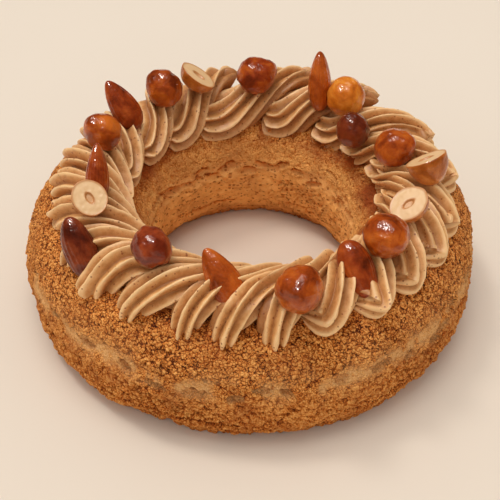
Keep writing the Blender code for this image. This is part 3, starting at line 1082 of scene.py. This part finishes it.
@dataclass
class CreamDome:
    """The bed of the swirls: half a torus that sits on the ring."""

    centre_radius: float = 64.0 * MM
    off_centre: float = 1.6 * MM
    off_centre_azimuth: float = 330.0
    foot_height: float = 44.0 * MM
    radius: float = 18.0 * MM

    def outward(self, azimuth: np.ndarray, arch: np.ndarray) -> np.ndarray:
        """Return the dome's outward directions at azimuths and angles over it, in degrees."""
        turn = np.radians(azimuth)
        lift = np.radians(arch)
        return np.stack(
            [np.cos(turn) * np.cos(lift), np.sin(turn) * np.cos(lift), np.sin(lift)], axis=-1
        )

    def point(
        self, azimuth: np.ndarray, arch: np.ndarray, radius: float | np.ndarray
    ) -> np.ndarray:
        """Find points round the dome's centre line.

        Args:
            azimuth: Where round the ring, in degrees.
            arch: Angle over the dome, in degrees.
            radius: Distance from the dome's centre line.

        Returns:
            The points, three coordinates to a row.
        """
        core = self.centre_radius + self.off_centre * np.cos(
            np.radians(azimuth - self.off_centre_azimuth)
        )
        level = self.outward(azimuth, np.zeros_like(azimuth)) * core[..., None]
        level[..., 2] += self.foot_height
        return level + self.outward(azimuth, arch) * radius


@dataclass
class CreamRope:
    """A fluted rope of cream, as an open star nozzle leaves it, laid over the dome."""

    dome: CreamDome
    height: float = 10.5 * MM
    depth: float = 6.0 * MM
    half_widths: tuple[float, ...] = (6.0, 8.6, 8.4, 7.4, 6.6, 7.6, 5.6)
    toothed_half_widths: tuple[float, ...] = (5.2, 6.6, 8.2, 7.5, 6.6, 6.6, 5.4)
    curled_arches: tuple[float, ...] = (26.0, 13.0, 46.0, 90.0, 134.0, 166.0, 162.0)
    toothed_arches: tuple[float, ...] = (-26.0, 4.0, 46.0, 85.0, 108.0, 134.0, 160.0)
    usual_room: float = 14.0
    tilt: float = 24.0
    ridge_depth: float = 0.4
    ridge_spacing: float = 40.0
    undercut: float = 0.3
    first_ridge: float = -62.0
    around_count: int = 132
    along_count: int = 100
    sunk_nuts: dict[str, Nut] = field(default_factory=dict)
    sunk_share: float = 0.5
    heap_height: float = 4.4 * MM
    heap_reach: float = 4.6 * MM
    tail_sink: float = 3.0 * MM
    bend_shifts: tuple[float, ...] = (-0.06, -0.03, 0.0, 0.03, 0.06)
    flow: float = 0.25 * MM
    flow_spacing: float = 5.0 * MM
    torn: float = 0.12 * MM
    torn_spacing: float = 1.3 * MM

    def path(self, swirl: Swirl, way: np.ndarray) -> np.ndarray:
        """Follow a swirl's rope over the dome.

        Args:
            swirl: The swirl.
            way: How far along it, from 0 at the outer tail to 1 at the inner one.

        Returns:
            The azimuth and the angle over the dome, in degrees, and the half width in mm, a
            row for each.
        """
        toothed = swirl.foot is Foot.TEETH
        half, foot, tail = swirl.outer
        offsets = (-tail, -foot, -half, 0.0, *swirl.inner)
        arches = self.toothed_arches if toothed else self.curled_arches
        widths = self.toothed_half_widths if toothed else self.half_widths
        knots = np.column_stack([offsets, arches, widths])
        reach = np.hypot(np.diff(knots[:, 0]) * 1.2, np.diff(knots[:, 1]) * 0.32)
        stops = np.concatenate([[0.0], np.cumsum(np.sqrt(reach))])
        slopes = np.gradient(knots, stops, axis=0)
        found = np.zeros((len(way), 3))
        for shift in self.bend_shifts:
            spot = np.clip(way + shift, 0.0, 1.0) * stops[-1]
            step = np.clip(np.searchsorted(stops, spot, side="right") - 1, 0, len(stops) - 2)
            gap = (stops[step + 1] - stops[step])[:, None]
            t = (spot - stops[step])[:, None] / gap
            found += (
                (2 * t**3 - 3 * t**2 + 1) * knots[step]
                + (t**3 - 2 * t**2 + t) * gap * slopes[step]
                + (3 * t**2 - 2 * t**3) * knots[step + 1]
                + (t**3 - t**2) * gap * slopes[step + 1]
            ) / len(self.bend_shifts)
        found[:, 0] += swirl.crest
        return found

    def tube(self) -> bmesh.types.BMesh:
        """Return a closed tube of radius 1 from z 0 to 1, cut across along its length.

        Its faces point inwards, because laying it over the dome turns it inside out.
        """
        bm = bmesh.new()
        bmesh.ops.create_cone(
            bm, cap_ends=True, segments=self.around_count, radius1=1.0, radius2=1.0, depth=1.0
        )
        upright = [e for e in bm.edges if abs(e.verts[0].co.z - e.verts[1].co.z) > 0.5]
        bmesh.ops.subdivide_edges(bm, edges=upright, cuts=self.along_count, use_grid_fill=False)
        bmesh.ops.translate(bm, verts=bm.verts, vec=(0, 0, 0.5))
        bmesh.ops.reverse_faces(bm, faces=bm.faces)
        return bm

    def flute(
        self, angle: np.ndarray, way: np.ndarray, room: float, seed: int
    ) -> tuple[np.ndarray, np.ndarray]:
        """Flute the rope's outline.

        Args:
            angle: Angle from the rope's top, in degrees.
            way: How far along the rope, from 0 to 1.
            room: The room the swirl has, in degrees.
            seed: Which rope, so that no two are alike.

        Returns:
            The outline's reach at each angle, where 1 is the top of a ridge, and how far down a
            groove it is, from 0 to 1.
        """
        draw = np.random.default_rng(900 + seed)
        spacing = self.ridge_spacing * (self.usual_room / max(room, 12.0)) ** 0.5
        spacing *= draw.uniform(0.94, 1.06)
        swing = draw.uniform(2.0, 6.0) * np.sin(way * draw.uniform(3.0, 5.0) + draw.uniform(0, 6))
        wave = (angle - self.first_ridge + swing) / spacing + draw.uniform(-0.08, 0.08)
        which = np.clip(np.floor(wave).astype(int) + 2, 0, 9)
        size = draw.uniform(0.8, 1.2, 10)[which]
        at_foot = smooth_step(0.34, 0.03, way)
        narrow = 0.68 + 1.0 * at_foot
        groove = (np.sin(math.pi * wave) ** 2 + 0.012) ** narrow - 0.012**narrow
        groove *= 1.0 - 0.4 * at_foot
        shown = smooth_step(self.first_ridge - 30, self.first_ridge - 4, angle) * smooth_step(
            112, 84, angle
        )
        return 1.0 - self.ridge_depth * size * groove * shown, groove * shown

    def place(
        self, swirl: Swirl, room: float, angle: np.ndarray, way: np.ndarray, seed: int
    ) -> np.ndarray:
        """Find the points of a swirl's surface.

        Args:
            swirl: The swirl.
            room: The room it has, in degrees.
            angle: Angle from the rope's top, in degrees.
            way: How far along the rope, from 0 to 1.
            seed: Which rope.

        Returns:
            The points, three coordinates to a row.
        """
        azimuth, arch, half_width = self.path(swirl, way).T
        before = self.path(swirl, np.maximum(way - 0.004, 0.0)).T
        after = self.path(swirl, np.minimum(way + 0.004, 1.0)).T
        run = self.dome.point(after[0], after[1], self.dome.radius)
        run -= self.dome.point(before[0], before[1], self.dome.radius)
        run /= np.linalg.norm(run, axis=1)[:, None]
        normal = self.dome.outward(azimuth, arch)
        across = np.cross(run, normal)
        across /= np.linalg.norm(across, axis=1)[:, None]
        normal = np.cross(across, run)
        inner_end = smooth_step(1.0, 0.93, way)
        outer_end = smooth_step(0.0, 0.13, way) if swirl.foot is Foot.CURL else np.ones_like(way)
        deep = self.height + self.tail_sink * (1.0 - outer_end)
        centre = self.dome.point(azimuth, arch, self.dome.radius - deep[:, None])
        swell = np.sqrt(0.12 + 0.88 * inner_end) * np.sqrt(0.12 + 0.88 * outer_end)
        spread = (room / self.usual_room) ** 0.8
        out = self.flute(angle, way, room, seed)[0] * swell
        out *= 1.0 - self.undercut * smooth_step(90.0, 150.0, np.abs(angle))
        lean = math.radians(self.tilt)
        tall = np.where(np.abs(angle) < 90.0, self.height, self.depth)
        side = np.sin(np.radians(angle)) * out * half_width * MM * spread
        up = np.cos(np.radians(angle)) * out * tall
        return (
            centre
            + across * (side * math.cos(lean) + up * math.sin(lean) * 0.5)[:, None]
            + normal * (up * math.cos(lean) - side * math.sin(lean))[:, None]
        )

    def heap(self, points: np.ndarray) -> np.ndarray:
        """Heap the cream up where a nut's lower end was pushed in.

        Args:
            points: The rope's points.

        Returns:
            How far each point moves.
        """
        moved = np.zeros_like(points)
        for node, nut in self.sunk_nuts.items():
            axis = nut.rotation()[:, 2]
            foot = box_centre(node) - axis * self.sunk_share * nut.length * MM
            flat = foot.copy()
            flat[2] = 0.0
            core = flat / np.linalg.norm(flat) * self.dome.centre_radius
            core[2] = self.dome.foot_height
            up = (foot - core) / np.linalg.norm(foot - core)
            away = points - foot
            away -= up * (away @ up)[:, None]
            near = np.exp(-np.sum(away**2, axis=1) / self.heap_reach**2)
            outside = smooth_step(8.0 * MM, 14.0 * MM, (points - core) @ up)
            moved += up * (self.heap_height * near * outside)[:, None]
        return moved

    def build(self, number: int, swirl: Swirl, room: float, finish: bpy.types.Material) -> None:
        """Build one swirl.

        Args:
            number: The swirl's number, from 1.
            swirl: The swirl.
            room: The room it has, in degrees.
            finish: The cream's material.
        """
        name = f"cream_swirl_{number:02d}"
        piece = make_piece(f"piped_{name}", self.tube(), [finish])
        unit = points_of(piece)
        angle = np.degrees(np.arctan2(unit[:, 0], unit[:, 1]))
        angle -= 12.0 * np.sin(np.radians(angle))
        points = self.place(swirl, room, angle, unit[:, 2], number)
        move_points(piece, points)
        outward = normals_of(piece)
        flow = self.flow * drift(points, self.flow_spacing, 200 + number)
        torn = self.torn * drift(points, self.torn_spacing, 230 + number)
        points -= outward * (flow + torn)[:, None]
        points += self.heap(points)
        move_points(piece, points)
        _, groove = self.flute(angle, unit[:, 2], room, number)
        # Marks for painted shade in the grooves and on the rope's underside, and for a painted
        # highlight along the ridge tops.
        under = smooth_step(52.0, 95.0, np.abs(angle - 10.0))
        mark_points(piece, "painted_groove_shade", np.maximum(0.75 * groove**2, 0.6 * under))
        mark_points(piece, "ridge", 0.85 * smooth_step(0.35, 0.0, groove) * (1.0 - under))
        seat_piece(piece, name)


# ------------------------------------------------------------------ nuts


@dataclass(frozen=True)
class Nut:
    """A nut's length in mm, its axis, and for a half how deep it is in mm.

    The axis is its lean from upright, the azimuth it leans to and its turn about itself, in
    degrees.
    """

    length: float
    lean: float
    toward: float
    turn: float = 0.0
    depth: float = 0.0

    def rotation(self) -> np.ndarray:
        """Return the matrix that turns +Z to the nut's axis."""
        lean = math.radians(self.lean)
        toward = math.radians(self.toward)
        axis = Vector(
            (math.sin(lean) * math.cos(toward), math.sin(lean) * math.sin(toward), math.cos(lean))
        )
        swing = Vector((0.0, 0.0, 1.0)).rotation_difference(axis).to_matrix()
        return np.array(swing @ Matrix.Rotation(math.radians(self.turn), 3, "Z"))


HAZELNUTS = (
    Nut(15.2, 35, 200), Nut(14.2, 50, 120), Nut(17.0, 66, 262), Nut(17.0, 70, 300),
    Nut(16.0, 55, 330), Nut(14.0, 20, 100), Nut(16.0, 30, 90), Nut(16.4, 70, 20),
    Nut(15.6, 45, 160),
)
HAZELNUT_HALVES = (
    Nut(14.0, 36, 288, -51, 6.6), Nut(15.0, 30, 215, 27, 7.0), Nut(16.0, 34, 133, 11, 10.5),
    Nut(16.2, 35, 13, -22, 7.0),
)
ALMONDS = (
    Nut(23.0, 38, 148, 40), Nut(22.0, 32, 88, 75), Nut(24.0, 38, 123, 5),
    Nut(23.0, 44, 134, 10), Nut(23.0, 46, 128, 15), Nut(25.0, 23, 93, 70),
)
ALMOND_TAPERS = (0.32, 0.34, 0.12, 0.32, -0.2, 0.26)
HEAPED_ALMONDS = (3, 4, 5)


@dataclass
class Hazelnut:
    """A whole hazelnut under a lumpy coat of caramel."""

    nut: Nut
    node: str
    seed: int
    width: float = 0.97
    point: float = 0.14

    def build(self, finish: bpy.types.Material) -> None:
        """Build the nut where its CAD node is.

        Args:
            finish: The coated nut's material.
        """
        bm = bmesh.new()
        bmesh.ops.create_uvsphere(bm, u_segments=88, v_segments=60, radius=1.0)
        piece = make_piece(f"caramel_{self.node}", bm, [finish])
        unit = points_of(piece)
        tip = np.maximum(unit[:, 2], 0.0)
        shape = unit * (self.width, self.width, 1.0)
        shape[:, 2] *= 1.0 + self.point * tip**4
        own = unit + self.seed * 7.3
        lumps = 0.055 * drift(own, 0.8, 1) + 0.028 * drift(own, 0.3, 2)
        facets, _, _ = grains(own, 0.6, 3)
        lumps += 0.07 * (0.5 - facets)
        scar = smooth_step(-0.9, -1.0, unit[:, 2])
        shape *= (1.0 + lumps - 0.1 * scar)[:, None] * 0.5 * self.nut.length * MM
        placed = centre_on(shape @ self.nut.rotation().T, box_centre(self.node))
        move_points(piece, placed)
        seat_piece(piece, self.node)


@dataclass
class HazelnutHalf:
    """Half a hazelnut: a coated skin, a flat cut face and the kernel's small hollow."""

    nut: Nut
    node: str
    seed: int
    width: float = 0.90
    hollow: float = 0.27
    hollow_depth: float = 0.8 * MM
    rings: int = 26

    def build(self, flesh: bpy.types.Material, skin: bpy.types.Material) -> None:
        """Build the half where its CAD node is.

        Args:
            flesh: The cut face's material.
            skin: The coated skin's material.
        """
        bm = bmesh.new()
        bmesh.ops.create_uvsphere(bm, u_segments=96, v_segments=64, radius=1.0)
        everything = bm.verts[:] + bm.edges[:] + bm.faces[:]
        bmesh.ops.bisect_plane(
            bm, geom=everything, plane_co=(0, 0, 0.001), plane_no=(0, 0, 1), clear_outer=True
        )
        bmesh.ops.remove_doubles(bm, verts=bm.verts, dist=0.004)
        for face in bm.faces:
            face.material_index = 1
        rim = [edge for edge in bm.edges if edge.is_boundary]
        face = bmesh.ops.contextual_create(bm, geom=rim)["faces"][0]
        face.material_index = 0
        for _ in range(self.rings):
            bmesh.ops.inset_region(
                bm, faces=[face], thickness=0.96 / self.rings, use_even_offset=False
            )
        middle = bmesh.ops.poke(bm, faces=[face])["verts"][0]
        middle.co = (0, 0, 0)
        piece = make_piece(f"cut_{self.node}", bm, [flesh, skin])
        unit = points_of(piece)
        reach = np.hypot(unit[:, 0], unit[:, 1])
        on_face = unit[:, 2] > -0.02
        own = unit + self.seed * 5.1
        half = 0.5 * self.nut.length * MM
        size = np.array([half, half * self.width, self.nut.depth * MM])
        shape = unit * size
        bulge = 1.0 + 0.03 * drift(own, 0.8, 1) + 0.012 * drift(own, 0.25, 2)
        shape *= bulge[:, None]
        oval = np.hypot(unit[:, 0] / 1.25, unit[:, 1] / 0.8) + 0.025 * drift(own, 0.2, 4)
        dip = smooth_step(self.hollow, self.hollow * 0.7, oval)
        shape[:, 2] -= on_face * dip * self.hollow_depth
        lip = smooth_step(0.9, 0.97, reach) * smooth_step(1.02, 0.99, reach)
        shape[:, 2] += on_face * 0.12 * MM * lip
        shape[:, 2] += on_face * 0.08 * MM * drift(own, 0.18, 5)
        placed = centre_on(shape @ self.nut.rotation().T, box_centre(self.node))
        move_points(piece, placed)
        browned = 0.85 * smooth_step(0.84, 1.0, reach)
        browned += 0.8 * smooth_step(0.09, 0.0, np.abs(oval - self.hollow))
        browned += 0.4 * (oval < self.hollow)
        mark_points(piece, "rim", np.clip(browned, 0.0, 1.0))
        seat_piece(piece, self.node)


@dataclass
class Almond:
    """A whole almond in its wrinkled skin under caramel."""

    nut: Nut
    node: str
    seed: int
    taper: float
    width: float = 0.50
    thickness: float = 0.36
    wrinkles: int = 19

    def build(self, finish: bpy.types.Material) -> None:
        """Build the almond where its CAD node is.

        Args:
            finish: The coated almond's material.
        """
        bm = bmesh.new()
        bmesh.ops.create_uvsphere(bm, u_segments=112, v_segments=64, radius=1.0)
        piece = make_piece(f"caramel_{self.node}", bm, [finish])
        unit = points_of(piece)
        half = 0.5 * self.nut.length * MM
        narrow = 1.0 - self.taper * unit[:, 2]
        own = unit + self.seed * 3.7
        turn = np.arctan2(unit[:, 1], unit[:, 0])
        veins = np.sin(turn * self.wrinkles + 2.5 * drift(own, 0.6, 1)) * (1.0 - unit[:, 2] ** 2)
        lumps = 1.0 + 0.03 * drift(own, 0.5, 2) + 0.02 * veins
        shape = np.stack(
            [
                unit[:, 0] * half * self.width * narrow * lumps,
                unit[:, 1] * half * self.thickness * narrow * lumps,
                unit[:, 2] * half,
            ],
            axis=1,
        )
        placed = centre_on(shape @ self.nut.rotation().T, box_centre(self.node))
        move_points(piece, placed)
        seat_piece(piece, self.node)


# ------------------------------------------------------------------ studio


@dataclass(frozen=True)
class Lamp:
    """A far soft light, which lights the whole floor evenly.

    For each metre up it stands side to +X and back to +Y. It looks spread degrees wide and
    gives power watts to a square metre.
    """

    name: str
    side: float
    back: float
    spread: float
    power: float
    glossy: bool = True
    diffuse: bool = True
    colour: str = "#FFF8F0"

    def hang(self) -> None:
        """Add the light to the scene."""
        lamp = bpy.data.lights.new(self.name, "SUN")
        lamp.angle = math.radians(self.spread)
        lamp.energy = self.power
        lamp.color = linear(self.colour)[:3]
        holder = bpy.data.objects.new(self.name, lamp)
        aim = Vector((-self.side, -self.back, -1.0))
        holder.rotation_euler = aim.to_track_quat("-Z", "Y").to_euler()
        bpy.context.scene.collection.objects.link(holder)
        holder.visible_glossy = self.glossy
        holder.visible_diffuse = self.diffuse


LAMPS = (
    Lamp("key_lamp", -0.42, 0.28, 11.0, 0.65),
    Lamp("top_softbox", -0.05, 0.08, 34.0, 0.72),
    Lamp("back_softbox", -0.15, 0.5, 75.0, 0.28, glossy=False),
    Lamp("front_fill", -0.3, -0.85, 80.0, 0.38, glossy=False),
    Lamp("gleam_card", -0.22, 0.02, 12.0, 3.2, diffuse=False),
)


@dataclass
class Studio:
    """The floor, the soft light and the camera."""

    camera_distance: float = 450.0 * MM
    camera_elevation: float = 41.5
    aim: tuple[float, float, float] = (-0.2 * MM, 0.0, 15.5 * MM)
    lens: float = 78.4
    floor_size: float = 14.0
    air: str = "#FFFAF4"
    air_strength: float = 0.53

    def lay_floor(self) -> None:
        """Make the plain pale floor."""
        bm = bmesh.new()
        bmesh.ops.create_grid(bm, x_segments=2, y_segments=2, size=self.floor_size / 2.0)
        floor = make_piece("studio_floor", bm, [PaintedBoard().build()])

    def hang_lights(self) -> None:
        """Light the scene softly from all round, mostly from above and the back left."""
        world = bpy.data.worlds.new("studio_air")
        world.use_nodes = True
        background = world.node_tree.nodes["Background"]
        feed(background, {"Color": self.air, "Strength": self.air_strength})
        bpy.context.scene.world = world
        world.cycles_visibility.glossy = False
        for lamp in LAMPS:
            lamp.hang()

    def set_camera(self) -> None:
        """Stand the camera in front and above, at a normal lens's distance."""
        tilt = math.radians(self.camera_elevation)
        data = bpy.data.cameras.new("studio_camera")
        data.lens = self.lens
        data.sensor_width = 36.0
        data.clip_start = 0.01
        camera = bpy.data.objects.new("studio_camera", data)
        back = Vector((0.0, -math.cos(tilt), math.sin(tilt)))
        camera.location = Vector(self.aim) + back * self.camera_distance
        camera.rotation_euler = (math.pi / 2.0 - tilt, 0.0, 0.0)
        bpy.context.scene.collection.objects.link(camera)
        bpy.context.scene.camera = camera

    def build(self) -> None:
        """Build the whole studio."""
        bpy.context.scene.view_settings.view_transform = "Standard"
        self.lay_floor()
        self.hang_lights()
        self.set_camera()


# ------------------------------------------------------------------ the pastry


def rooms() -> list[float]:
    """Return the room each swirl has round the ring, in degrees."""
    places = [swirl.crest for swirl in SWIRLS]
    count = len(places)
    return [
        ((places[(index + 1) % count] - places[index - 1]) % 360) / 2.0 for index in range(count)
    ]


def build_nuts() -> None:
    """Build every nut in its own finish."""
    plum = CaramelCoat("plum_caramel_hazelnut", "#A84A22", "#7A2A10", "#481004").build()
    red = CaramelCoat("red_caramel_hazelnut", "#C8641E", "#96380E", "#5A1C05").build()
    amber = CaramelCoat("amber_caramel_hazelnut", "#D06C20", "#A5460F", "#6C2606").build()
    honey = CaramelCoat("honey_caramel_hazelnut", "#EE9A38", "#D0701A", "#94420C").build()
    russet = CaramelCoat("russet_caramel_almond", "#BE5A20", "#93380F", "#5E2006").build()
    brown = CaramelCoat("dark_caramel_almond", "#8E3E1C", "#66240E", "#421406").build()
    orange = CaramelCoat("amber_caramel_almond", "#CF6A22", "#A94A10", "#742C07").build()
    flesh = CutKernel().build()
    skin = CaramelCoat("hazelnut_skin", "#D98A42", "#B96422", "#8A400F").build()
    hazelnut_finish = (amber, plum, amber, amber, amber, brown, honey, red, amber)
    for number, (nut, finish) in enumerate(zip(HAZELNUTS, hazelnut_finish), start=1):
        Hazelnut(nut, f"hazelnut_{number:02d}", number).build(finish)
    for number, nut in enumerate(HAZELNUT_HALVES, start=1):
        HazelnutHalf(nut, f"hazelnut_half_{number:02d}", number).build(flesh, skin)
    almond_finish = (russet, russet, brown, orange, russet, orange)
    almonds = zip(ALMONDS, ALMOND_TAPERS, almond_finish)
    for number, (nut, taper, finish) in enumerate(almonds, start=1):
        Almond(nut, f"almond_{number:02d}", number, taper).build(finish)


def main() -> None:
    """Build the pastry and its studio, and report each piece."""
    logging.basicConfig(level=logging.INFO, format="%(name)s %(message)s")
    Studio().build()
    ChouxRing().build(BakedCrust().build())
    cream = PralineCream().build()
    sunk = {f"almond_{number:02d}": ALMONDS[number - 1] for number in HEAPED_ALMONDS}
    rope = CreamRope(CreamDome(), sunk_nuts=sunk)
    for number, (swirl, room) in enumerate(zip(SWIRLS, rooms()), start=1):
        rope.build(number, swirl, room, cream)
    build_nuts()


if __name__ == "__main__":
    main()
